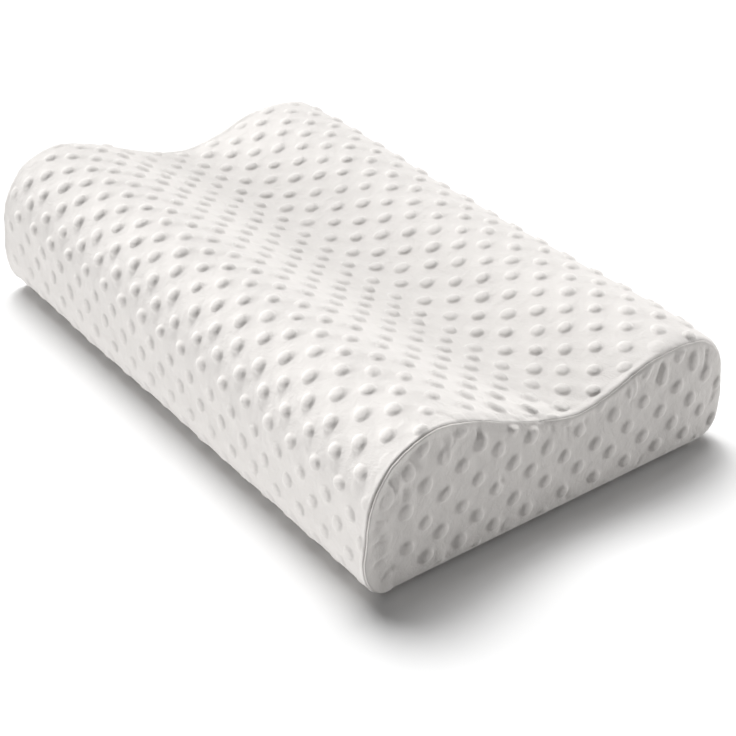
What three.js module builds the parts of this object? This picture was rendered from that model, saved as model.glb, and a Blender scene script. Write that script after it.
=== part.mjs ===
// Contour pillow: one filled wrap of bubble-knit fabric with a high roll along
// the front, a hollow and a lower roll along the back, closed at each end by a
// flat end panel set in with a seam that follows the S of the top.
// Millimetres. +X along the pillow, +Y from the high roll to the low roll,
// +Z up. The origin lies on the resting surface, below the middle.
import * as THREE from 'three';
import { mergeVertices } from 'three/addons/utils/BufferGeometryUtils.js';

const LENGTH = 500;        // end panel to end panel
const EDGE_R = 12;         // rounding from the wrap over to an end panel
const SEAM_DEG = 50;       // where the end seam runs on that rounding, 0 is the top
const PANEL_T = 2;         // end panel cloth, with its bubbles
const SEAM_GAP = 0.3;      // clearance between panel and wrap
const BACK_SAG = 2.2;      // how far the middle of the low roll sags between its ends
const END_FLARE = 1.7;     // how far front and back stand out more at the ends
const STEPS_OVER = 80;     // facets from foot to foot, over the top
const STEPS_UNDER = 6;     // facets along the flat underside
const STEPS_LONG = 12;     // facets along the pillow
const WRAP_DEG = [0, 17, 34, SEAM_DEG];      // sections of the wrap's rounding
const SHELF_DEG = [SEAM_DEG, 70, 90];        // sections of the filling under a panel

// The section across the pillow, foot to foot over the top. The cloth leaves
// and meets the underside level.
const STATIONS = [
  { at: 'front foot',         y: -137.0, z: 0.0 },
  { at: 'front lower edge',   y: -154.5, z: 9.5 },
  { at: 'front face low',     y: -160.7, z: 28.0 },
  { at: 'front face middle',  y: -159.0, z: 51.0 },
  { at: 'front face high',    y: -154.5, z: 80.0 },
  { at: 'high roll shoulder', y: -136.5, z: 106.5 },
  { at: 'high roll crest',    y: -107.5, z: 117.8 },
  { at: 'high roll back',     y: -76.0,  z: 114.0 },
  { at: 'slope high',         y: -44.0,  z: 100.7 },
  { at: 'slope low',          y: -13.5,  z: 88.5 },
  { at: 'hollow',             y: 15.0,   z: 80.5 },
  { at: 'hollow back',        y: 44.5,   z: 84.8 },
  { at: 'low roll rise',      y: 76.7,   z: 95.2 },
  { at: 'low roll crest',     y: 111.3,  z: 98.8 },
  { at: 'low roll shoulder',  y: 136.0,  z: 92.6 },
  { at: 'back face high',     y: 153.0,  z: 74.5 },
  { at: 'back face middle',   y: 159.5,  z: 45.0 },
  { at: 'back face low',      y: 160.6,  z: 24.0 },
  { at: 'back lower edge',    y: 155.5,  z: 7.5 },
  { at: 'back foot',          y: 139.0,  z: 0.0 },
];

// Smooth curve through the stations: cubic pieces whose slope at a station is
// the chord-weighted mean of its two neighbours' chords.
function sectionCurve(stations, steps) {
  const p = stations.map((s) => new THREE.Vector2(s.y, s.z));
  const chord = [], unit = [];
  for (let i = 0; i + 1 < p.length; i++) {
    const d = p[i + 1].clone().sub(p[i]);
    chord.push(d.length());
    unit.push(d.divideScalar(chord[i]));
  }
  const level = new THREE.Vector2(-1, 0);
  const slope = p.map((_, i) => (i === 0 || i === p.length - 1)
    ? level.clone()
    : unit[i - 1].clone().multiplyScalar(chord[i])
      .addScaledVector(unit[i], chord[i - 1])
      .divideScalar(chord[i] + chord[i - 1]));
  const total = chord.reduce((a, b) => a + b, 0);
  const out = [];
  for (let n = 0; n <= steps; n++) {
    let u = total * n / steps, k = 0;
    while (k < chord.length - 1 && u > chord[k]) { u -= chord[k]; k++; }
    const h = chord[k], t = Math.min(1, u / h), t2 = t * t, t3 = t2 * t;
    const at = new THREE.Vector2()
      .addScaledVector(p[k], 2 * t3 - 3 * t2 + 1)
      .addScaledVector(slope[k], (t3 - 2 * t2 + t) * h)
      .addScaledVector(p[k + 1], -2 * t3 + 3 * t2)
      .addScaledVector(slope[k + 1], (t3 - t2) * h);
    const dir = new THREE.Vector2()
      .addScaledVector(p[k], (6 * t2 - 6 * t) / h)
      .addScaledVector(slope[k], 3 * t2 - 4 * t + 1)
      .addScaledVector(p[k + 1], (-6 * t2 + 6 * t) / h)
      .addScaledVector(slope[k + 1], 3 * t2 - 2 * t).normalize();
    out.push({ at, out: new THREE.Vector2(-dir.y, dir.x) });
  }
  return out;
}

const OVER = sectionCurve(STATIONS, STEPS_OVER);

// Lengthwise changes of the section: the low roll sags between its ends, and
// front and back flare a little at the ends. Neither moves the underside.
function place(x, y, z) {
  const e = x / (LENGTH / 2), e2 = e * e;
  const rear = THREE.MathUtils.clamp((y + 90) / 120, 0, 1);
  const lift = rear * BACK_SAG * 4 * e2 * (1 - e2) * THREE.MathUtils.clamp(z / 90, 0, 1);
  const flare = (y / 160) * END_FLARE * e2 * THREE.MathUtils.clamp(z / 60, 0, 1);
  return new THREE.Vector3(x, y + flare, z + lift);
}

// One closed loop of points round the pillow at x, drawn in by inset.
function ring(x, inset) {
  const loop = OVER.map((s) => [s.at.x - s.out.x * inset, s.at.y - s.out.y * inset]);
  const a = loop[loop.length - 1], b = loop[0];
  for (let i = 1; i < STEPS_UNDER; i++) {
    const t = i / STEPS_UNDER;
    loop.push([a[0] + (b[0] - a[0]) * t, a[1] + (b[1] - a[1]) * t]);
  }
  return loop.map(([y, z]) => place(x, y, z));
}

// A ring on the rounding at an end: side is +1 or -1, r the radius kept.
function endRing(side, deg, r) {
  const a = THREE.MathUtils.degToRad(deg);
  return ring(side * (LENGTH / 2 - EDGE_R + r * Math.sin(a)), EDGE_R - r * Math.cos(a));
}

// Closed solid through rings ordered from -X to +X, capped at both ends.
function skin(rings) {
  const m = rings[0].length, pos = [], index = [];
  for (const r of rings) for (const v of r) pos.push(v.x, v.y, v.z);
  for (let i = 0; i + 1 < rings.length; i++) {
    for (let j = 0; j < m; j++) {
      const k = (j + 1) % m;
      const a = i * m + j, b = i * m + k, c = a + m, d = b + m;
      index.push(a, c, d, a, d, b);
    }
  }
  for (const [base, flip] of [[0, false], [(rings.length - 1) * m, true]]) {
    const r = rings[flip ? rings.length - 1 : 0];
    const flat = r.map((v) => new THREE.Vector2(v.y, v.z));
    const want = flip ? 1 : -1;
    for (const [a, b, c] of THREE.ShapeUtils.triangulateShape(flat, [])) {
      const turn = (flat[b].x - flat[a].x) * (flat[c].y - flat[a].y)
        - (flat[b].y - flat[a].y) * (flat[c].x - flat[a].x);
      if (turn * want > 0) index.push(base + a, base + b, base + c);
      else index.push(base + a, base + c, base + b);
    }
  }
  const g = new THREE.BufferGeometry();
  g.setAttribute('position', new THREE.Float32BufferAttribute(pos, 3));
  g.setIndex(index);
  const merged = mergeVertices(g, 1e-4);
  merged.computeVertexNormals();
  return merged;
}

// The filled wrap: top, front, back and underside in one, with a shelf at each
// end that the panel lies on.
function bodyGeometry() {
  const inner = EDGE_R - PANEL_T - SEAM_GAP;
  const half = LENGTH / 2 - EDGE_R;
  const rings = [];
  for (const d of [...SHELF_DEG].reverse()) rings.push(endRing(-1, d, inner));
  for (const d of [...WRAP_DEG].reverse().slice(0, -1)) rings.push(endRing(-1, d, EDGE_R));
  for (let i = 0; i <= STEPS_LONG; i++) rings.push(ring(-half + 2 * half * i / STEPS_LONG, 0));
  for (const d of WRAP_DEG.slice(1)) rings.push(endRing(1, d, EDGE_R));
  for (const d of SHELF_DEG) rings.push(endRing(1, d, inner));
  return skin(rings);
}

// An end panel: a flat sheet whose rim bends round to the seam.
function panelGeometry(side) {
  const rim = SEAM_DEG + THREE.MathUtils.radToDeg(SEAM_GAP / EDGE_R);
  const mid = (rim + 90) / 2, third = (90 - rim) / 3;
  const inside = [90, mid, rim].map((d) => endRing(side, d, EDGE_R - PANEL_T));
  const outside = [rim, rim + third, rim + 2 * third, 90].map((d) => endRing(side, d, EDGE_R));
  const rings = [...inside, ...outside];
  return skin(side > 0 ? rings : rings.reverse());
}

const knit = { roughness: 0.95, metalness: 0 };
const group = new THREE.Group();
function add(name, geometry, color) {
  const mesh = new THREE.Mesh(geometry, new THREE.MeshStandardMaterial({ color, ...knit }));
  mesh.name = name;
  group.add(mesh);
}
add('pillow_body', bodyGeometry(), 0xeeebe7);
add('end_panel_right', panelGeometry(1), 0xe9e5e1);
add('end_panel_left', panelGeometry(-1), 0xe9e5e1);

export default group;
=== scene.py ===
"""Looks of the contour pillow: a foam-filled wrap and two end panels in white
bubble knit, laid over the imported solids. Lengths are in millimetres until a mesh
is made. Cloth coordinates: a runs along the pillow, s runs round it, from the
front foot up over the high roll, the hollow and the low roll, and back
underneath."""

import math

import bmesh
import bpy
import numpy as np
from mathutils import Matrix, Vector
from mathutils.geometry import delaunay_2d_cdt


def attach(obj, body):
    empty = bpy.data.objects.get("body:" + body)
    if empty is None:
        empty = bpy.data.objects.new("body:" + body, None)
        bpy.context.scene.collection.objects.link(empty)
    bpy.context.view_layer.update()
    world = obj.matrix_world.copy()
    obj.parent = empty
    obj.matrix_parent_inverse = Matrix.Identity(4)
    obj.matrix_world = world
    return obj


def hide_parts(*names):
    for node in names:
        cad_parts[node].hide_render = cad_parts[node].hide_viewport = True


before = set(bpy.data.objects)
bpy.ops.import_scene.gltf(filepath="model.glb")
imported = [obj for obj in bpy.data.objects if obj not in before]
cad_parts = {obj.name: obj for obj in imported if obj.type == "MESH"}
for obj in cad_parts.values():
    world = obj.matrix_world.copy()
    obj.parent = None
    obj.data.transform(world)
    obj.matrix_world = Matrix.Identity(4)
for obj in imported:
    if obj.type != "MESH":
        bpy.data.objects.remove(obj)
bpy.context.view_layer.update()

# ---------------------------------------------------------------- the solids' sizes
LENGTH = 500.0
EDGE_R = 12.0
SEAM_DEG = 50.0
BACK_SAG = 2.2
END_FLARE = 1.7
HALF = LENGTH / 2 - EDGE_R                     # where the end rounding starts
SEAM_A = HALF + EDGE_R * math.radians(SEAM_DEG)    # the seam, along the cloth

STATIONS = [  # the section across the pillow, foot to foot over the top
    ("front foot", -137.0, 0.0),
    ("front lower edge", -154.5, 9.5),
    ("front face low", -160.7, 28.0),
    ("front face middle", -159.0, 51.0),
    ("front face high", -154.5, 80.0),
    ("high roll shoulder", -136.5, 106.5),
    ("high roll crest", -107.5, 117.8),
    ("high roll back", -76.0, 114.0),
    ("slope high", -44.0, 100.7),
    ("slope low", -13.5, 88.5),
    ("hollow", 15.0, 80.5),
    ("hollow back", 44.5, 84.8),
    ("low roll rise", 76.7, 95.2),
    ("low roll crest", 111.3, 98.8),
    ("low roll shoulder", 136.0, 92.6),
    ("back face high", 153.0, 74.5),
    ("back face middle", 159.5, 45.0),
    ("back face low", 160.6, 24.0),
    ("back lower edge", 155.5, 7.5),
    ("back foot", 139.0, 0.0),
]

# ---------------------------------------------------------------- the cloth's sizes
WRAP_GROUND = 2.25     # the wrap's ground lies this far inside the solid, which holds the bubbles
PANEL_GROUND = 1.9     # the same for an end panel
PANEL_TALL = 2.05      # height of a panel's bubbles
WRAP_TALL = 2.5        # height of the wrap's bubbles
UNDER_GROUND = 0.5     # under the pillow the bubbles are pressed to this
BUBBLE_R = 5.55        # a bubble's radius at its foot
CLOTH_T = 1.15         # the panels' cloth, through
ROWS = 54              # bubble rows round the wrap
FIRST_ROW = -6         # the row nearest the front foot
STEPS = 5              # mesh rings in a bubble's cell
LOOPS = (0.5, 1.1, 1.8, 2.7, 3.9, 5.6, 8.0)    # loops of the wrap's mesh, this far back from its seams

LAY = [  # how the cloth lies: row, place along the pillow of one column, spacing along the pillow
    (-6, 220.0, 27.3),
    (-4, 217.0, 27.3),
    (0, 215.5, 27.75),
    (4, 216.0, 28.3),
    (8, 218.0, 29.0),
    (12, 223.0, 29.7),
    (16, 225.0, 29.9),
    (20, 229.0, 29.9),
    (34, 229.0, 29.0),
    (44, 222.0, 27.6),
    (48, 220.0, 27.3),
]
FRONT_ROW, FRONT_S, FRONT_STEP = -5, 46.2, 14.48   # rows over the front and top
BACK_ROW = 20                                      # rows from here round to the front again
BOW = (7.5, 6.0, 5.5)      # rows bow toward the back at the right end: amount, middle row, spread


def smooth(lo, hi, x):
    t = np.clip((np.asarray(x, float) - lo) / (hi - lo), 0, 1)
    return t * t * (3 - 2 * t)


class Noise:
    """Seeded smooth value noise over the plane, about -1 to 1."""

    def __init__(self, seed, n=128):
        self.n = n
        self.g = np.random.default_rng(seed).uniform(-1, 1, (n, n))

    def one(self, x, y):
        xi, yi = np.floor(x).astype(int), np.floor(y).astype(int)
        fx, fy = x - xi, y - yi
        fx, fy = fx**3 * (fx * (6 * fx - 15) + 10), fy**3 * (fy * (6 * fy - 15) + 10)
        n, g = self.n, self.g
        a, b = g[xi % n, yi % n], g[(xi + 1) % n, yi % n]
        c, d = g[xi % n, (yi + 1) % n], g[(xi + 1) % n, (yi + 1) % n]
        return (a * (1 - fx) + b * fx) * (1 - fy) + (c * (1 - fx) + d * fx) * fy

    def __call__(self, x, y, octaves=2):
        total, size = np.zeros(np.broadcast(x, y).shape), 1.0
        for k in range(octaves):
            total += size * self.one(x * 2**k + 17.3 * k, y * 2**k + 5.1 * k)
            size *= 0.5
        return total / 1.4


# ---------------------------------------------------------------- the section, closed underneath
def section(steps=3000, under_steps=600):
    p = np.array([(y, z) for _, y, z in STATIONS])
    chord = np.linalg.norm(np.diff(p, axis=0), axis=1)
    unit = np.diff(p, axis=0) / chord[:, None]
    slope = np.zeros_like(p)
    slope[0] = slope[-1] = (-1, 0)
    slope[1:-1] = (chord[1:, None] * unit[:-1] + chord[:-1, None] * unit[1:]) / (
        chord[1:] + chord[:-1]
    )[:, None]
    knots = np.concatenate([[0], np.cumsum(chord)])
    u = np.linspace(0, knots[-1], steps)
    k = np.clip(np.searchsorted(knots, u, side="right") - 1, 0, len(chord) - 1)
    h = chord[k][:, None]
    t = (u - knots[k])[:, None] / h
    at = (
        (2 * t**3 - 3 * t**2 + 1) * p[k]
        + (t**3 - 2 * t**2 + t) * h * slope[k]
        + (-2 * t**3 + 3 * t**2) * p[k + 1]
        + (t**3 - t**2) * h * slope[k + 1]
    )
    run = (
        ((6 * t**2 - 6 * t) * p[k] + (-6 * t**2 + 6 * t) * p[k + 1]) / h
        + (3 * t**2 - 4 * t + 1) * slope[k]
        + (3 * t**2 - 2 * t) * slope[k + 1]
    )
    run /= np.linalg.norm(run, axis=1)[:, None]
    out = np.stack([-run[:, 1], run[:, 0]], 1)
    over = np.concatenate([[0], np.cumsum(np.linalg.norm(np.diff(at, axis=0), axis=1))])
    ys = np.linspace(p[-1, 0], p[0, 0], under_steps)[1:]
    at = np.concatenate([at, np.stack([ys, np.zeros_like(ys)], 1)])
    out = np.concatenate([out, np.tile((0.0, -1.0), (len(ys), 1))])
    s = np.concatenate([over, over[-1] + (p[-1, 0] - ys)])
    return s, at, out, over[-1], s[-1]


SEC_S, SEC_P, SEC_N, S_OVER, S_ROUND = section()


def on_section(s):
    s = np.mod(s, S_ROUND)
    at = np.stack([np.interp(s, SEC_S, SEC_P[:, i]) for i in (0, 1)], -1)
    out = np.stack([np.interp(s, SEC_S, SEC_N[:, i]) for i in (0, 1)], -1)
    return at, out / np.linalg.norm(out, axis=-1, keepdims=True)


def place(x, y, z):
    """Lengthwise changes of the section, as on the solids."""
    e2 = (x / (LENGTH / 2)) ** 2
    lift = np.clip((y + 90) / 120, 0, 1) * BACK_SAG * 4 * e2 * (1 - e2) * np.clip(z / 90, 0, 1)
    flare = (y / 160) * END_FLARE * e2 * np.clip(z / 60, 0, 1)
    return np.stack([x, y + flare, z + lift], -1)


def skin(a, s, off):
    """The point at cloth place (a, s), off outside the solid's surface."""
    at, out = on_section(s)
    angle = np.clip((np.abs(a) - HALF) / EDGE_R, 0, math.pi / 2)
    bent = angle > 0
    x = np.where(bent, np.sign(a) * (HALF + (EDGE_R + off) * np.sin(angle)), a)
    inset = np.where(bent, EDGE_R - (EDGE_R + off) * np.cos(angle), -off)
    q = at - out * inset[..., None]
    return place(x, q[..., 0], q[..., 1])


# ---------------------------------------------------------------- the lay of the bubble rows
LAY_ROW, LAY_A, LAY_STEP = (np.array(c, float) for c in zip(*LAY))
BACK_STEP = (S_ROUND + FRONT_S - (FRONT_S + FRONT_STEP * (BACK_ROW - FRONT_ROW))) / (
    ROWS - (BACK_ROW - FRONT_ROW)
)


def row_s(v):
    """Where row v lies round the pillow, before the rows bow."""
    v = np.asarray(v, float)
    turn = np.floor((v - FRONT_ROW) / ROWS)
    w = v - turn * ROWS
    back = FRONT_S + FRONT_STEP * (BACK_ROW - FRONT_ROW)
    return turn * S_ROUND + np.where(
        w < BACK_ROW, FRONT_S + FRONT_STEP * (w - FRONT_ROW), back + BACK_STEP * (w - BACK_ROW)
    )


def s_row(s):
    """The other way: which row lies at s."""
    turn = np.floor((s - FRONT_S) / S_ROUND)
    w = s - turn * S_ROUND
    back = FRONT_S + FRONT_STEP * (BACK_ROW - FRONT_ROW)
    return turn * ROWS + np.where(
        w < back, FRONT_ROW + (w - FRONT_S) / FRONT_STEP, BACK_ROW + (w - back) / BACK_STEP
    )


def in_turn(v):
    return np.mod(v - FRONT_ROW, ROWS) + FRONT_ROW


def bow(a, v):
    amount, middle, spread = BOW
    return amount * np.clip(0.5 + a / 440, 0, 1.1) * np.exp(-(((in_turn(v) - middle) / spread) ** 2))


def lay(u, v):
    """Cloth place of column u, row v."""
    w = np.mod(v - FIRST_ROW, ROWS) + FIRST_ROW
    a = np.interp(w, LAY_ROW, LAY_A) + np.interp(w, LAY_ROW, LAY_STEP) * (u - 8)
    return a, row_s(v) + bow(a, v)


def unlay(a, s):
    v = s_row(s)
    for _ in range(12):
        v = s_row(s - bow(a, v))
    w = np.mod(v - FIRST_ROW, ROWS) + FIRST_ROW
    return 8 + (a - np.interp(w, LAY_ROW, LAY_A)) / np.interp(w, LAY_ROW, LAY_STEP), v


# ---------------------------------------------------------------- one bubble
RINGS = np.array([0.0, 0.57, 0.85, 1.0, 1.17])      # mesh rings, in radii
DOME = [(0, 1.0), (0.3, 0.97), (0.55, 0.89), (0.7, 0.77), (0.84, 0.54), (0.94, 0.25), (1.0, 0.08), (1.07, 0.0)]
TILT = 0.12                                         # a bubble stands higher on one side
WRAP_NAP, PANEL_NAP = (-0.95, 0.3), (0.95, 0.3)     # which side, along the cloth's two ways


def dome(px, py, nap):
    """Height of a bubble at (px, py) radii from its middle, about 0 to 1: full, with a marked foot."""
    return np.interp(np.hypot(px, py), *zip(*DOME)) * (1 + TILT * np.clip(px * nap[0] + py * nap[1], -1, 1))


class Bubbles:
    """Every bubble's own size, lean and shift, drawn once from a seed."""

    def __init__(self, seed, n=96):
        g = np.random.default_rng(seed)
        self.n = n
        self.shift = g.normal(0, 0.55, (n, n, 2))
        self.size = g.normal(1.0, 0.045, (n, n))
        self.tall = g.normal(1.0, 0.05, (n, n))
        self.lean = g.normal(0.0, 0.07, (n, n))
        self.high = np.clip(g.normal(1.0, 0.09, (n, n)), 0.7, 1.2)

    def of(self, p, q):
        i, j = p % self.n, q % self.n
        return self.shift[i, j], self.size[i, j], self.tall[i, j], self.lean[i, j], self.high[i, j]


WRAP_BUBBLES = Bubbles(11)


def dip_share(s):
    """1 in the middle of the hollow, where the cloth is pulled over the end, to 0."""
    return np.exp(-(((np.mod(s, S_ROUND) - 244) / 40) ** 2))


def cell_of(pc, qc):
    """Middle, axes, lean, turn, height and pull of the wrap's bubbles (pc, qc)."""
    u, v = (pc + qc) / 2, (pc - qc) + FIRST_ROW
    a, s = lay(u, v)
    turn = np.floor_divide(pc - qc, ROWS)
    i, j = pc - turn * (ROWS // 2), qc + turn * (ROWS // 2)
    shift, size, tall, lean, high = WRAP_BUBBLES.of(i, j)
    pulled = np.exp(-np.clip(SEAM_A - np.abs(a), 0, None) / 42.0) * dip_share(s)
    ra = BUBBLE_R * size * 0.985 * (1 + 0.5 * pulled)
    rs = BUBBLE_R * size * 1.02 * tall * (1 - 0.22 * pulled)
    turned = np.sign(a) * 0.62 * pulled
    # most of the bubbles next to a seam are pulled flat
    flat = 0.75 * (1 - smooth(5, 14, SEAM_A - np.abs(a))) * (np.mod(3 * i + 5 * j, 7) > 1)
    flat = np.maximum(flat, 0.6 * dip_share(s) * (1 - smooth(3, 8, SEAM_A - np.abs(a))))
    return a + shift[..., 0], s + shift[..., 1], ra, rs, lean, turned, high * (1 - flat), pulled


# ---------------------------------------------------------------- how the wrap's cloth stands
LUMPS, FINE, PULL, SLACK = Noise(3), Noise(5), Noise(7), Noise(9)

CREASES = [  # soft lines in the wrap: start a, start s, end a, end s, depth, half width
    (238, 262, 206, 240, 0.9, 1.9),
    (243, 286, 200, 262, 0.9, 2.0),
    (243, 300, 212, 287, 0.7, 2.2),
    (242, 239, 214, 222, 0.9, 1.8),
    (244, 176, 218, 170, 0.6, 2.2),
    (245, 158, 226, 160, 0.6, 2.0),
    (60, 262, 20, 238, 0.6, 2.4),
    (-20, 230, -58, 208, 0.6, 2.4),
    (120, 276, 84, 252, 0.5, 2.4),
    (-120, 270, -165, 246, 0.6, 2.6),
    (-244, 262, -212, 244, 0.8, 2.4),
    (-243, 284, -205, 270, 0.7, 2.4),
]


def line_dip(x, y, table):
    """Depth of soft creases at points, each deepest in its middle third."""
    total = np.zeros(np.shape(x))
    for x0, y0, x1, y1, depth, half in table:
        dx, dy = x1 - x0, y1 - y0
        n2 = dx * dx + dy * dy
        t = ((x - x0) * dx + (y - y0) * dy) / n2
        off = ((x - x0) * dy - (y - y0) * dx) / math.sqrt(n2)
        bend = off + 2.0 * np.sin(t * 3.0)
        total += depth * np.exp(-((bend / half) ** 2)) * smooth(-0.15, 0.15, t) * (
            1 - smooth(0.65, 1.1, t)
        )
    return total


def under_part(s):
    """1 on the flat underside, 0 on the faces and the top."""
    s = np.mod(s, S_ROUND)
    front = 1 - smooth(-6, 16, np.where(s > S_ROUND - 60, s - S_ROUND, s))
    back = smooth(S_OVER - 16, S_OVER + 6, s)
    return np.clip(np.maximum(front, back), 0, 1)


SEAM_SHOW = [  # how plainly the seam shows round the pillow: place, groove, ridge, corner filled out
    (0, 0.85, 0.7, 1.0), (160, 0.85, 0.7, 1.0), (196, 0.05, 0.05, 0.1), (256, 0.0, 0.0, 0.0),
    (278, 0.3, 0.0, 0.9), (350, 0.3, 0.03, 0.9), (378, 0.1, 0.1, 0.35), (520, 0.1, 0.15, 0.35),
    (545, 0.6, 0.2, 0.8), (770, 0.6, 0.4, 1.0), (800, 0.85, 0.7, 1.0),
]
SEAM_AT, SEAM_GROOVE, SEAM_RIDGE, SEAM_FULL = zip(*SEAM_SHOW)
CORNER = 3.75          # both cloths fill the corner: the seam stands this much higher for it
CORNER_BACK = 0.8      # and this far back along the wrap
SEAM_NOISE = Noise(13)


def pulled_down(edge, s):
    """In the hollow the cloth is drawn down over the end, so the edge is rounder there."""
    return 1.6 * dip_share(s) * np.exp(-((np.clip(edge, 0, None) / 9) ** 2))


def seam_height(side, s):
    """Where both cloths meet at the seam, against the solid's surface."""
    s = np.mod(s, S_ROUND)
    low = under_part(s)
    pucker = 0.35 * SEAM_NOISE(s / 13.0, 0 * s + 4.3 * side) + 0.15 * SEAM_NOISE(s / 4.7, 0 * s + 9.1 * side)
    full = CORNER * np.interp(s, SEAM_AT, SEAM_FULL)
    height = np.maximum(-2.1 + full + pucker * (1 + 0.3 * dip_share(s)) - 1.2 * dip_share(s), -3.4)
    return height * (1 - low) - 0.7 * low


def seam_sway(side, s):
    """How far the seam strays along the cloth."""
    s = np.mod(s, S_ROUND)
    stray = 0.55 * SEAM_NOISE(s / 23.0, 0 * s + 2.2 * side) + 0.22 * SEAM_NOISE(s / 6.0, 0 * s + 6.2 * side)
    return stray - CORNER_BACK * np.interp(s, SEAM_AT, SEAM_FULL)


def seam_fade(edge):
    """How much of that sway reaches the cloth this far from the seam."""
    return np.exp(-((np.clip(edge, 0, None) / 8) ** 2))


def wrap_off(a, s):
    """Height of the wrap's outer face over the solid's surface, bubbles included."""
    u, v = unlay(a, s)
    pc, qc = np.rint(u + (v - FIRST_ROW) / 2).astype(int), np.rint(u - (v - FIRST_ROW) / 2).astype(int)
    ca, cs, ra, rs, lean, turned, high, pulled = cell_of(pc, qc)
    da, ds = a - ca, s - cs
    da, ds = da * np.cos(turned) + ds * np.sin(turned), ds * np.cos(turned) - da * np.sin(turned)
    px, py = (da - lean * ds) / ra, ds / rs
    low = under_part(s)
    ground = WRAP_GROUND * (1 - low) + UNDER_GROUND * low
    edge = SEAM_A - np.abs(a)
    sn = np.mod(s, S_ROUND)
    # the cloth itself: lumps of the filling, slack in the hollow, gathers at the seams
    side = np.sign(a)
    dip = dip_share(s)
    lumps = 0.7 * LUMPS(a / 62, sn / 57) + 0.25 * FINE(a / 21, sn / 19) + 0.1 * FINE(a / 8.5, sn / 7.5)
    slack = 0.5 * np.exp(-(((sn - 262) / 46) ** 2)) * SLACK(a / 17 + sn / 30, sn / 13)
    upright = np.exp(-(((np.where(sn > S_OVER + 100, sn - S_ROUND, sn) - 50) / 45) ** 2))
    rise = np.exp(-(((sn - 322) / 48) ** 2))
    gather = (0.12 + 0.5 * dip + 0.25 * upright + 0.28 * rise) * np.exp(-np.clip(edge, 0, None) / (10.0 + 8 * dip)) * PULL(
        sn / 9.5 + edge / 30, side * 3.7
    )
    # a fold runs along the near side of each pulled bubble
    drag = 1.35 * pulled * np.exp(-(((py + 1.2) / 0.4) ** 2)) * np.exp(-(((px - 0.4 * side) / 1.1) ** 2))
    crease = -line_dip(a, sn, CREASES) - drag
    groove = np.interp(sn, SEAM_AT, SEAM_GROOVE)
    turn = np.clip((np.abs(a) + seam_sway(side, s) * seam_fade(edge) - HALF) / EDGE_R, 0, math.radians(46))
    shoulder = np.interp(sn, SEAM_AT, SEAM_FULL) * (EDGE_R - WRAP_GROUND) * (1 / np.cos(turn) - 1)
    free = -ground + (lumps + slack + crease + shoulder - pulled_down(edge, s)) * (1 - low) + gather * (1 - 0.7 * low)
    hold = np.exp(-((np.clip(edge, 0, None) / (3.6 - 2.2 * groove)) ** 2))
    cloth = free * (1 - hold) + seam_height(side, s) * hold - 0.65 * groove * np.exp(-((edge / 1.1) ** 2))
    # bubbles flatten toward the floor and are pressed flat underneath
    foot = 0.36 + 0.64 * smooth(10, 118, sn) * (1 - smooth(S_OVER - 60, S_OVER - 6, sn))
    tall = (WRAP_TALL * foot * (1 - 0.16 * smooth(300, 350, sn)) * (1 - low) + UNDER_GROUND * low) * high * (1 - 0.4 * smooth(222, 240, -a))
    return cloth + tall * dome(px, py, WRAP_NAP) * smooth(0.1, 4.6, edge)


# ---------------------------------------------------------------- meshes
def make_object(name, verts, faces, uv=None, smooth_shade=True):
    mesh = bpy.data.meshes.new(name)
    mesh.from_pydata([tuple(v) for v in np.asarray(verts) * 0.001], [], faces)
    mesh.validate()
    mesh.update()
    obj = bpy.data.objects.new(name, mesh)
    bpy.context.scene.collection.objects.link(obj)
    if smooth_shade:
        mesh.polygons.foreach_set("use_smooth", np.ones(len(mesh.polygons), bool))
    if uv is not None:
        layer = mesh.uv_layers.new(name="cloth")
        loops = np.zeros(len(mesh.loops), int)
        mesh.loops.foreach_get("vertex_index", loops)
        layer.data.foreach_set("uv", np.asarray(uv, np.float32)[loops].ravel())
    return obj


def loop_square(k):
    """Offsets round the square of half side k, in order."""
    if k == 0:
        return [(0, 0)]
    out = []
    out += [(k, j) for j in range(-k, k)]
    out += [(i, k) for i in range(k, -k, -1)]
    out += [(-k, j) for j in range(k, -k, -1)]
    out += [(i, -k) for i in range(-k, k)]
    return out


def coarse_cell(m):
    """Triangles of a cell with only its outer loop, its middle ring and its centre."""
    outer, inner = loop_square(m), loop_square(3)
    tris = []
    i = j = 0
    while i < len(outer) or j < len(inner):
        o, n = outer[i % len(outer)], inner[j % len(inner)]
        if j >= len(inner) or (i < len(outer) and (i + 1) / len(outer) <= (j + 1) / len(inner)):
            tris.append((o, outer[(i + 1) % len(outer)], n))
            i += 1
        else:
            tris.append((o, inner[(j + 1) % len(inner)], n))
            j += 1
    for j in range(len(inner)):
        tris.append((inner[j], inner[(j + 1) % len(inner)], (0, 0)))
    return tris


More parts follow.
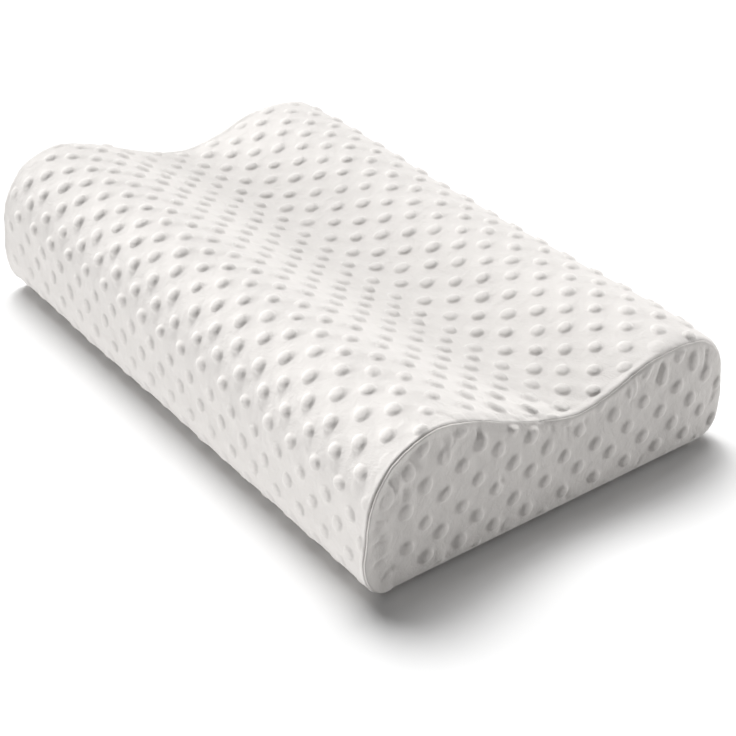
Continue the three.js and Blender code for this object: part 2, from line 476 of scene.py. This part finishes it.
def wrap_sheet():
    """The wrap's outer face: one cell of rings for each bubble, closed round the pillow."""
    m = STEPS
    per = 2 * m
    nv = ROWS * per
    u_lo, u_hi = -10.0, 10.5
    lo, hi = int(math.floor(u_lo * 2 * per)), int(math.ceil(u_hi * 2 * per))
    vv, uu = np.meshgrid(np.arange(nv), np.arange(lo, hi + 1), indexing="ij")
    keep = (vv + uu) % 2 == 0
    vv, uu = vv[keep], uu[keep]
    ident = -np.ones((nv, hi - lo + 1), int)
    ident[vv, uu - lo] = np.arange(len(vv))
    P, Q = (uu + vv) // 2, (uu - vv) // 2
    pc, qc = np.rint(P / per).astype(int), np.rint(Q / per).astype(int)
    A, B = P - per * pc, Q - per * qc
    ring = np.maximum(np.abs(A), np.abs(B))
    a_pos, s_pos = lay(uu / (2 * per), vv / per + FIRST_ROW)
    inner = ring < m
    t = np.where(np.abs(A) >= np.abs(B), B / np.where(A == 0, 1, A), 0)
    t2 = np.where(np.abs(A) < np.abs(B), A / np.where(B == 0, 1, B), 0)
    cp = np.where(np.abs(A) >= np.abs(B), np.sign(A) * np.cos(t * math.pi / 4), np.sign(B) * np.sin(t2 * math.pi / 4))
    cq = np.where(np.abs(A) >= np.abs(B), np.sign(A) * np.sin(t * math.pi / 4), np.sign(B) * np.cos(t2 * math.pi / 4))
    ca, cs, ra, rs, lean, turned, *_ = cell_of(pc, qc)
    da, ds = (cp + cq) / math.sqrt(2), (cp - cq) / math.sqrt(2)
    r = RINGS[np.minimum(ring, m - 1)]
    da, ds = r * (da * ra + lean * ds * rs), r * ds * rs
    a_ring = ca + da * np.cos(turned) - ds * np.sin(turned)
    s_ring = cs + da * np.sin(turned) + ds * np.cos(turned)
    a_pos = np.where(inner, a_ring, a_pos)
    s_pos = np.where(inner, s_ring, s_pos)
    # faces: squares of the rings, and coarse cells underneath
    s_mid = np.mod(cs, S_ROUND)
    low_cell = (s_mid > S_OVER + 4) & (s_mid < S_ROUND - 4)
    low_of = {}
    for x, y, w in zip(pc[ring == 0], qc[ring == 0], low_cell[ring == 0]):
        low_of[(int(x), int(y))] = bool(w)

    def vid(p, q):
        v, u = p - q, p + q
        turn = np.floor_divide(v, nv)
        v = v - turn * nv
        ok = (u >= lo) & (u <= hi)
        return np.where(ok, ident[v, np.clip(u - lo, 0, hi - lo)], -1)

    quads = np.stack([vid(P, Q), vid(P, Q + 1), vid(P + 1, Q + 1), vid(P + 1, Q)], 1)
    own_p, own_q = np.floor_divide(P + m, per), np.floor_divide(Q + m, per)
    ca2, cs2, *_ = cell_of(own_p, own_q)
    cs2 = np.mod(cs2, S_ROUND)
    low_quad = (cs2 > S_OVER + 4) & (cs2 < S_ROUND - 4)
    good = (quads >= 0).all(1) & ~low_quad
    faces = quads[good].tolist()
    template = coarse_cell(m)
    at_centre = (ring == 0) & low_cell
    for p0, q0 in zip(P[at_centre], Q[at_centre]):
        for tri in template:
            ids = [int(vid(np.array(p0 + i), np.array(q0 + j))) for i, j in tri]
            if min(ids) >= 0:
                faces.append(ids)
    # drop what lies well past the seams, then the unused points
    far = np.abs(a_pos) > SEAM_A + 16
    faces = [f for f in faces if not all(far[i] for i in f)]
    used = np.zeros(len(a_pos), bool)
    for f in faces:
        used[f] = True
    new = np.cumsum(used) - 1
    faces = [[int(new[i]) for i in f] for f in faces]
    return a_pos[used], s_pos[used], faces


def cut_at_seams(a, s, faces):
    """Cuts the cloth at both seams, on a drum of the pillow's girth so that it stays closed."""
    r = S_ROUND / (2 * math.pi)
    phi = s / r
    mesh = bpy.data.meshes.new("cut")
    mesh.from_pydata(np.stack([a, r * np.cos(phi), r * np.sin(phi)], 1).tolist(), [], faces)
    bm = bmesh.new()
    bm.from_mesh(mesh)
    for side in (1, -1):
        bmesh.ops.bisect_plane(
            bm, geom=bm.verts[:] + bm.edges[:] + bm.faces[:], dist=1e-4,
            plane_co=(side * SEAM_A, 0, 0), plane_no=(side, 0, 0), clear_outer=True,
        )
        # loops of points along the seam, where the cloth turns over the edge
        for back in LOOPS:
            strip = [f for f in bm.faces if side * f.calc_center_median().x > SEAM_A - LOOPS[-1] - 12]
            bmesh.ops.bisect_plane(
                bm, geom=strip + list({e for f in strip for e in f.edges}) + list({v for f in strip for v in f.verts}),
                dist=1e-4, plane_co=(side * (SEAM_A - back), 0, 0), plane_no=(side, 0, 0),
            )
    near = [v for v in bm.verts if abs(v.co.x) > SEAM_A - LOOPS[-1] - 1]
    bmesh.ops.remove_doubles(bm, verts=near, dist=0.22)
    for v in bm.verts:
        if abs(abs(v.co.x) - SEAM_A) < 0.05:
            v.co.x = math.copysign(SEAM_A, v.co.x)
    loose = [v for v in bm.verts if not v.link_faces]
    bmesh.ops.delete(bm, geom=loose, context="VERTS")
    bm.verts.index_update()
    co = np.array([v.co[:] for v in bm.verts])
    out = [[v.index for v in f.verts] for f in bm.faces]
    rims = {1: set(), -1: set()}
    for e in bm.edges:
        if len(e.link_faces) == 1:
            for v in e.verts:
                rims[1 if v.co.x > 0 else -1].add(v.index)
    bm.free()
    bpy.data.meshes.remove(mesh)
    a2, s2 = co[:, 0], np.mod(np.arctan2(co[:, 2], co[:, 1]) * r, S_ROUND)
    return a2, s2, out, {k: sorted(v, key=lambda i: s2[i]) for k, v in rims.items()}


def build_wrap():
    a, s, faces = wrap_sheet()
    a, s, faces, rims = cut_at_seams(a, s, faces)
    off = wrap_off(a, s)
    edge = SEAM_A - np.abs(a)
    pts = skin(a + np.sign(a) * seam_sway(np.sign(a), s) * seam_fade(edge), s, off)
    pts[:, 2] = np.maximum(pts[:, 2], 0.0)
    uv = np.stack([a, s], 1) * 0.001
    verts, uvs = [pts], [uv]
    count = len(pts)
    for side, rim in rims.items():
        rs = s[rim]
        last = rim
        # the edge turns in under the panel's edge, and the end is closed behind the panel
        line, sway = seam_height(side, rs), seam_sway(side, rs)
        tucked = [(SEAM_A + 0.1 + sway, line - 2.0), (HALF + EDGE_R * math.radians(66) + 0 * rs, -4.5 + 0 * rs),
                  (HALF + EDGE_R * math.radians(90) + 0 * rs, -4.7 + 0 * rs)]
        for aa, oo in tucked:
            ring_pts = skin(side * aa, rs, oo)
            ring_pts[:, 2] = np.maximum(ring_pts[:, 2], 0.0)
            verts.append(ring_pts)
            uvs.append(np.stack([side * aa, rs], 1) * 0.001)
            ids = list(range(count, count + len(rs)))
            count += len(rs)
            n = len(rs)
            for k in range(n):
                j = (k + 1) % n
                quad = [last[k], last[j], ids[j], ids[k]]
                faces.append(quad if side < 0 else quad[::-1])
            last = ids
        faces.append(last if side < 0 else last[::-1])
    return make_object("cover_wrap", np.concatenate(verts), faces, np.concatenate(uvs))


# ---------------------------------------------------------------- the end panels
PANEL_PITCH, PANEL_ROW = 29.0, 14.6
PANEL_FIRST = (106.0, 33.8)          # one bubble of the panel, y and z
PANEL_RIM = EDGE_R * (1 - math.radians(90 - SEAM_DEG) ) + 0.15    # its edge, this far in from the section

PANEL_CREASES = [  # soft lines in an end panel: start y, start z, end y, end z, depth, half width
    (90, 92, 84, 74, 1.0, 1.5),
    (113, 95, 106, 80, 0.8, 1.4),
    (133, 90, 131, 66, 1.3, 1.6),
    (62, 86, 62, 66, 0.7, 1.3),
    (22, 76, 18, 56, 0.6, 1.4),
    (2, 78, 6, 60, 0.5, 1.4),
    (-11, 83, -7, 70, 0.9, 1.5),
    (-33, 84, -34.5, 70, 0.5, 2.2),
    (-47, 93, -48, 83, 0.4, 2.2),
    (-71, 103, -73, 87, 1.2, 1.5),
    (-91, 108, -93, 97, 0.9, 1.4),
    (-99, 107, -98, 88, 0.6, 1.9),
    (-126, 104, -120, 90, 0.9, 2.5),
    (-50, 56, -56, 44, 0.8, 1.8),
    (-141, 95, -135, 80, 1.8, 1.4),
    (-130, 84, -129.5, 70, 0.8, 2.1),
    (-92, 13, -103, 5, 0.7, 2.2),
    (-150, 66, -140, 60, 0.9, 1.5),
    (-152, 46, -141, 47, 0.9, 1.6),
    (-151, 30, -138, 35, 0.8, 1.6),
    (-146, 17, -134, 24, 0.8, 1.6),
    (-48, 7, -42, 18, 0.8, 1.8),
    (14, 7, 10, 18, 0.7, 1.8),
    (78, 7, 84, 17, 0.8, 1.8),
    (146, 50, 140, 30, 0.7, 1.8),
]


PANEL_LUMPS = [  # soft lumps in an end panel beside its front seam: y, z, half sizes, height
    (-133.5, 88, 4.2, 7.5, 1.7),
    (-143.5, 61, 6.0, 7.0, 1.4),
    (-143.0, 37, 6.0, 6.5, 1.4),
    (-129.5, 20, 7.0, 5.5, 1.2),
    (-117.5, 102, 4.5, 5.5, 1.2),
    (-124.0, 75, 3.6, 6.5, 1.0),
    (-92.0, 99, 3.2, 7.5, 1.1),
    (-99.5, 17, 5.0, 5.0, 1.1),
    (-66.0, 92, 3.2, 8.0, 0.6),
    (-41.0, 86, 3.6, 8.0, 0.3),
    (-27.0, 74, 3.6, 8.0, 0.2),
]


def inside(w):
    """Depth inside the section and place on it for flat points w (y, z)."""
    sp = np.linspace(0, S_ROUND, 1600, endpoint=False)
    at, out = on_section(sp)
    depth, place_s = np.zeros(len(w)), np.zeros(len(w))
    for i in range(0, len(w), 2000):
        d = w[i:i + 2000, None, :] - at[None]
        j = np.argmin((d**2).sum(2), 1)
        dd = d[np.arange(len(j)), j]
        n, along = out[j], np.stack([out[j][:, 1], -out[j][:, 0]], 1)
        depth[i:i + 2000] = -(dd * n).sum(1)
        place_s[i:i + 2000] = sp[j] + (dd * along).sum(1)
    return depth, place_s


class Panel:
    def __init__(self, side, seed):
        self.side = side
        self.bubbles = Bubbles(seed)
        self.lumps, self.fine, self.pull = Noise(seed + 1), Noise(seed + 2), Noise(seed + 3)

    def centre(self, i, j):
        y = PANEL_FIRST[0] + PANEL_PITCH * (i + 0.5 * (j % 2))
        z = PANEL_FIRST[1] + PANEL_ROW * j
        shift, size, tall, lean, high = self.bubbles.of(i, j)
        near = smooth(60, 95, z) + 2.2 * smooth(35, 80, y) * smooth(58, 84, z)
        return (y + 1.8 * shift[..., 0], z + 1.5 * shift[..., 1], 5.1 * size, (5.7 + 1.3 * near) * size * tall,
                0.03 + 1.6 * lean, high)

    def near(self, w):
        """Distance in radii from the nearest bubble, and its height here, 0 to 1."""
        j0 = np.floor((w[:, 1] - PANEL_FIRST[1]) / PANEL_ROW).astype(int)
        best, full = np.full(len(w), 9.0), np.zeros(len(w))
        for dj in (0, 1):
            j = j0 + dj
            i0 = np.floor((w[:, 0] - PANEL_FIRST[0]) / PANEL_PITCH - 0.5 * (j % 2)).astype(int)
            for di in (0, 1):
                y, z, ry, rz, lean, high = self.centre(i0 + di, j)
                dy, dz = w[:, 0] - y, w[:, 1] - z
                px, py = (dy - lean * dz) / ry, dz / rz
                closer = np.hypot(px, py) < best
                best = np.where(closer, np.hypot(px, py), best)
                full = np.where(closer, high * dome(px, py, PANEL_NAP), full)
        return best, full

    def off(self, w, depth, s):
        """Height of the panel's face over the solid's surface, without and with its bubbles."""
        _, bubble = self.near(w)
        edge = depth - PANEL_RIM
        y, z = w[:, 0], w[:, 1]
        side = np.full(len(w), float(self.side))
        upright = 1 + 0.7 * np.exp(-(((np.mod(s, S_ROUND) - 70) / 50) ** 2))
        lumps = 0.7 * self.lumps(y / 40, z / 36) + 0.45 * self.fine(y / 15, z / 13)
        puff = 1.5 * smooth(2, 34, edge)
        gather = 0.55 * upright * np.exp(-np.clip(edge, 0, None) / 9.0) * self.pull(s / 8.0, 0 * s + 2.2)
        fold = -line_dip(y, z, PANEL_CREASES)
        for y0, z0, ry, rz, high in PANEL_LUMPS:
            fold += high * np.exp(-(((y - y0) / ry) ** 2) - ((z - z0) / rz) ** 2)
        sn = np.mod(s, S_ROUND)
        groove = np.interp(sn, SEAM_AT, SEAM_GROOVE)
        turn = (depth + seam_sway(side, s) * seam_fade(edge)) / EDGE_R + math.pi / 2 - 1
        turn = np.clip(turn, math.radians(44), math.pi / 2)
        shoulder = np.interp(sn, SEAM_AT, SEAM_FULL) * (1 - under_part(s)) * (
            (EDGE_R - PANEL_GROUND) * (1 / np.sin(turn) - 1) + 0.5 * np.exp(-edge / 3.5))
        free = -PANEL_GROUND + lumps * smooth(1.5, 9, edge) + puff + shoulder + gather + fold * smooth(1, 5, edge)
        free -= 0.85 * pulled_down(edge, s)
        hold = np.exp(-((edge / (3.8 - 1.8 * groove)) ** 2))
        ridge = 0.6 * np.interp(sn, SEAM_AT, SEAM_RIDGE) * np.exp(-(((edge - 0.95) / 0.6) ** 2))
        ridge = ridge * (1 + 0.3 * self.pull(s / 3.1, 0 * s + 7.7))
        sink = -0.45 * groove * np.exp(-((edge / 0.45) ** 2))
        cloth = np.maximum(free * (1 - hold) + seam_height(side, s) * hold + ridge + sink, -3.5)
        # bubbles flatten out in the folds by the front seam
        bubble = bubble * (0.35 + 0.65 * smooth(-136, -124, y))
        return cloth, cloth + PANEL_TALL * bubble * smooth(1.2, 6.5, edge)

    def point(self, w, depth, s, off):
        at, out = on_section(s)
        side = np.full(len(w), float(self.side))
        depth = depth + seam_sway(side, s) * seam_fade(depth - PANEL_RIM)
        angle = np.clip(math.pi / 2 - (EDGE_R - depth) / EDGE_R, 0, math.pi / 2)
        rim = depth < EDGE_R
        inset = EDGE_R - (EDGE_R + off) * np.cos(angle)
        q = np.where(rim[:, None], at - out * inset[:, None], w)
        x = np.where(rim, HALF + (EDGE_R + off) * np.sin(angle), LENGTH / 2 + off)
        return place(self.side * x, q[:, 0], q[:, 1])

    def build(self, name):
        # edge loops follow the seam, rings follow the bubbles, and loose points fill the rest
        n_edge = 560
        se = np.linspace(0, S_ROUND, n_edge, endpoint=False)
        at, out = on_section(se)
        pts = [at - out * (PANEL_RIM + d) for d in (0, 0.35, 0.75, 1.15, 1.6, 2.3, 3.4)]
        grid = []
        for j in range(-3, 7):
            for i in range(-12, 4):
                y, z, ry, rz, lean, high = (np.asarray(c) for c in self.centre(np.array(i), np.array(j)))
                for k, r in enumerate((0, 0.3, 0.58, 0.8, 0.97, 1.14)):
                    num = 1 if k == 0 else 6 * k + 2
                    ang = np.arange(num) * 2 * math.pi / num + 0.3 * k
                    dz = r * rz * np.sin(ang)
                    grid.append(np.stack([y + r * ry * np.cos(ang) + lean * dz, z + dz], 1))
        grid = np.concatenate(grid)
        gy, gz = np.meshgrid(np.arange(-165, 166, 2.7), np.arange(0, 122, 2.4))
        gy = gy + 1.35 * (np.arange(gy.shape[0]) % 2)[:, None]
        fill = np.stack([gy.ravel(), gz.ravel()], 1)
        fill = fill[self.near(fill)[0] > 1.34]
        along = []
        for x0, y0, x1, y1, _, half in PANEL_CREASES:
            t = np.arange(0, 1.05, 1.5 / math.hypot(x1 - x0, y1 - y0))
            nx, ny = np.array([y1 - y0, x0 - x1]) / math.hypot(x1 - x0, y1 - y0)
            for off in (-2, -1, 0, 1, 2):
                bend = 2.0 * np.sin(t * 3.0)
                along.append(np.stack([x0 + (x1 - x0) * t - nx * (bend - off * half),
                                       y0 + (y1 - y0) * t - ny * (bend - off * half)], 1))
        along = np.concatenate(along)
        along = along[self.near(along)[0] > 1.2]
        more = np.concatenate([grid, fill, along])
        depth, _ = inside(more)
        more = more[depth > PANEL_RIM + 4.3]
        allp = np.concatenate(pts + [more])
        edges = [(i, (i + 1) % n_edge) for i in range(n_edge)]
        out_v, _, tris, *_ = delaunay_2d_cdt([Vector(p) for p in allp.tolist()], edges, [], 1, 1e-5)
        w = np.array([v[:] for v in out_v])
        depth, s = inside(w)
        cloth, full = self.off(w, depth, s)
        face = self.point(w, depth, s, full)
        back = self.point(w, depth, s, np.clip(cloth - CLOTH_T, -4.4, None))
        base = len(face)
        faces = [list(t) for t in tris] + [[base + i for i in t][::-1] for t in tris]
        rim = self.rim_of(tris)
        for a, b in zip(rim, rim[1:] + rim[:1]):
            faces.append([b, a, base + a, base + b])
        if self.side < 0:
            faces = [f[::-1] for f in faces]
        return make_object(name, np.concatenate([face, back]), faces, np.concatenate([w, w]) * 0.001)

    @staticmethod
    def rim_of(tris):
        """The outer loop of a triangulation, in the triangles' own turning sense."""
        seen = set()
        for t in tris:
            for i in range(3):
                seen.add((t[i], t[(i + 1) % 3]))
        nxt = {a: b for a, b in seen if (b, a) not in seen}
        start = min(nxt)
        loop = [start]
        while nxt[loop[-1]] != start:
            loop.append(nxt[loop[-1]])
        return loop


wrap = build_wrap()
right = Panel(1, 31).build("end_cover_right")
left = Panel(-1, 47).build("end_cover_left")


# ---------------------------------------------------------------- materials
def bubble_knit(name, tint):
    mat = bpy.data.materials.new(name)
    mat.use_nodes = True
    nt = mat.node_tree
    nt.nodes.clear()
    add, link = nt.nodes.new, nt.links.new
    out = add("ShaderNodeOutputMaterial")
    sh = add("ShaderNodeBsdfPrincipled")
    link(sh.outputs["BSDF"], out.inputs["Surface"])
    sh.inputs["Roughness"].default_value = 0.88
    sh.inputs["Sheen Weight"].default_value = 0.25
    sh.inputs["Sheen Roughness"].default_value = 0.5
    sh.inputs["Specular IOR Level"].default_value = 0.25
    where = add("ShaderNodeTexCoord")
    # broad, faint unevenness of the dye and the nap
    broad = add("ShaderNodeTexNoise")
    broad.inputs["Scale"].default_value = 26
    broad.inputs["Detail"].default_value = 3
    link(where.outputs["Object"], broad.inputs["Vector"])
    nap = add("ShaderNodeTexNoise")
    nap.inputs["Scale"].default_value = 420
    nap.inputs["Detail"].default_value = 2
    link(where.outputs["Object"], nap.inputs["Vector"])
    mix = add("ShaderNodeMath")
    mix.operation = "MULTIPLY_ADD"
    mix.inputs[1].default_value = 0.35
    link(nap.outputs["Fac"], mix.inputs[0])
    link(broad.outputs["Fac"], mix.inputs[2])
    ramp = add("ShaderNodeValToRGB")
    e = ramp.color_ramp.elements
    e[0].position, e[1].position = 0.45, 0.95
    e[0].color = tuple(c * 0.965 for c in tint) + (1,)
    e[1].color = tuple(tint) + (1,)
    link(mix.outputs[0], ramp.inputs["Fac"])
    link(ramp.outputs["Color"], sh.inputs["Base Color"])
    # the nap of the knit, over small soft wrinkles in the cloth
    fuzz = add("ShaderNodeTexNoise")
    fuzz.inputs["Scale"].default_value = 1100
    fuzz.inputs["Detail"].default_value = 3
    link(where.outputs["Object"], fuzz.inputs["Vector"])
    wrinkle = add("ShaderNodeTexNoise")
    wrinkle.inputs["Scale"].default_value = 120
    wrinkle.inputs["Detail"].default_value = 4
    wrinkle.inputs["Roughness"].default_value = 0.55
    wrinkle.inputs["Distortion"].default_value = 0.4
    link(where.outputs["Object"], wrinkle.inputs["Vector"])
    both = add("ShaderNodeMath")
    both.operation = "MULTIPLY_ADD"
    both.inputs[1].default_value = 5.0
    link(wrinkle.outputs["Fac"], both.inputs[0])
    link(fuzz.outputs["Fac"], both.inputs[2])
    bump = add("ShaderNodeBump")
    bump.inputs["Strength"].default_value = 0.5
    bump.inputs["Distance"].default_value = 0.00035
    link(both.outputs[0], bump.inputs["Height"])
    link(bump.outputs["Normal"], sh.inputs["Normal"])
    return mat


WRAP_TINT = (0.629, 0.607, 0.587)
# the end panels are the same knit as the wrap; their tint is a little darker, painted shade for the end faces, which
# turn away from the key light
PANEL_TINT_PAINTED_SHADE = (0.612, 0.588, 0.566)
wrap.data.materials.append(bubble_knit("wrap_bubble_knit", WRAP_TINT))
panel_mat_painted_shade = bubble_knit("end_bubble_knit_painted_shade", PANEL_TINT_PAINTED_SHADE)
right.data.materials.append(panel_mat_painted_shade)
left.data.materials.append(panel_mat_painted_shade)

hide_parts("pillow_body")
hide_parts("end_panel_right")
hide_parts("end_panel_left")
for piece in (wrap, right, left):
    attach(piece, "root")

# ---------------------------------------------------------------- the studio
scene = bpy.context.scene
bpy.ops.mesh.primitive_plane_add(size=12, location=(0, 0, -0.0002))
floor = bpy.context.object
floor.name = "floor"
fm = bpy.data.materials.new("floor_white")
fm.use_nodes = True
fb = fm.node_tree.nodes["Principled BSDF"]
fb.inputs["Base Color"].default_value = (0.9, 0.9, 0.9, 1)
fb.inputs["Roughness"].default_value = 0.9
fb.inputs["Specular IOR Level"].default_value = 0.1
floor.data.materials.append(fm)

world = bpy.data.worlds.new("studio")
scene.world = world
world.use_nodes = True
world.node_tree.nodes["Background"].inputs["Color"].default_value = (1.0, 1.0, 1.0, 1)
world.node_tree.nodes["Background"].inputs["Strength"].default_value = 0.15


def sun(name, toward, strength, angle, colour=(1, 1, 1)):
    light = bpy.data.lights.new(name, "SUN")
    light.energy, light.angle, light.color = strength, math.radians(angle), colour
    obj = bpy.data.objects.new(name, light)
    obj.rotation_euler = Vector(toward).to_track_quat("-Z", "Y").to_euler()
    scene.collection.objects.link(obj)
    return obj


floor_lights = [sun("floor_left", (0.5, -0.03, -0.86), 2.1, 32), sun("floor_back", (0.34, -0.32, -0.88), 1.75, 32)]
pillow_lights = [sun("key", (0.47, -0.27, -0.84), 4.1, 16)]
front_left = sun("front_left", (0.6, 0.79, -0.14), 2.93, 26)
side_light = bpy.data.lights.new("right", "AREA")
side_light.shape, side_light.size, side_light.energy = "DISK", 0.4, 30.2
side = bpy.data.objects.new("right", side_light)
side.location = (1.2, 2.3, 0.22)
side.rotation_euler = Vector((-0.38, -0.92, -0.07)).to_track_quat("-Z", "Y").to_euler()
scene.collection.objects.link(side)
pillow_lights.append(side)

# three lights for the pillow, and two broader suns that draw its soft shadow on the floor
on_pillow, on_floor = bpy.data.collections.new("lit_pillow"), bpy.data.collections.new("lit_floor")
on_front = bpy.data.collections.new("lit_front")
for piece in (wrap, right, left):
    on_pillow.objects.link(piece)
for piece in (wrap, right):
    on_front.objects.link(piece)
on_floor.objects.link(floor)
for light in pillow_lights:
    light.light_linking.receiver_collection = on_pillow
front_left.light_linking.receiver_collection = on_front      # the left end has light enough without it
for light in floor_lights:
    light.light_linking.receiver_collection = on_floor

# ---------------------------------------------------------------- the camera, at the photograph's angle
CAM_AT = (0.8872, -0.6280, 0.6974)
CAM_AZ, CAM_EL = math.radians(53.567), math.radians(33.078)
cam_data = bpy.data.cameras.new("camera")
cam = bpy.data.objects.new("camera", cam_data)
scene.collection.objects.link(cam)
look = Vector((-math.sin(CAM_AZ) * math.cos(CAM_EL), math.cos(CAM_AZ) * math.cos(CAM_EL), -math.sin(CAM_EL)))
cam.location = CAM_AT
cam.rotation_mode = "QUATERNION"
cam.rotation_quaternion = look.to_track_quat("-Z", "Y")
cam_data.sensor_width = 36
cam_data.lens = 36 * 1658.16 / 736
cam_data.clip_start, cam_data.clip_end = 0.05, 50
scene.camera = cam
scene.view_settings.view_transform = "Standard"
scene.view_settings.look = "None"
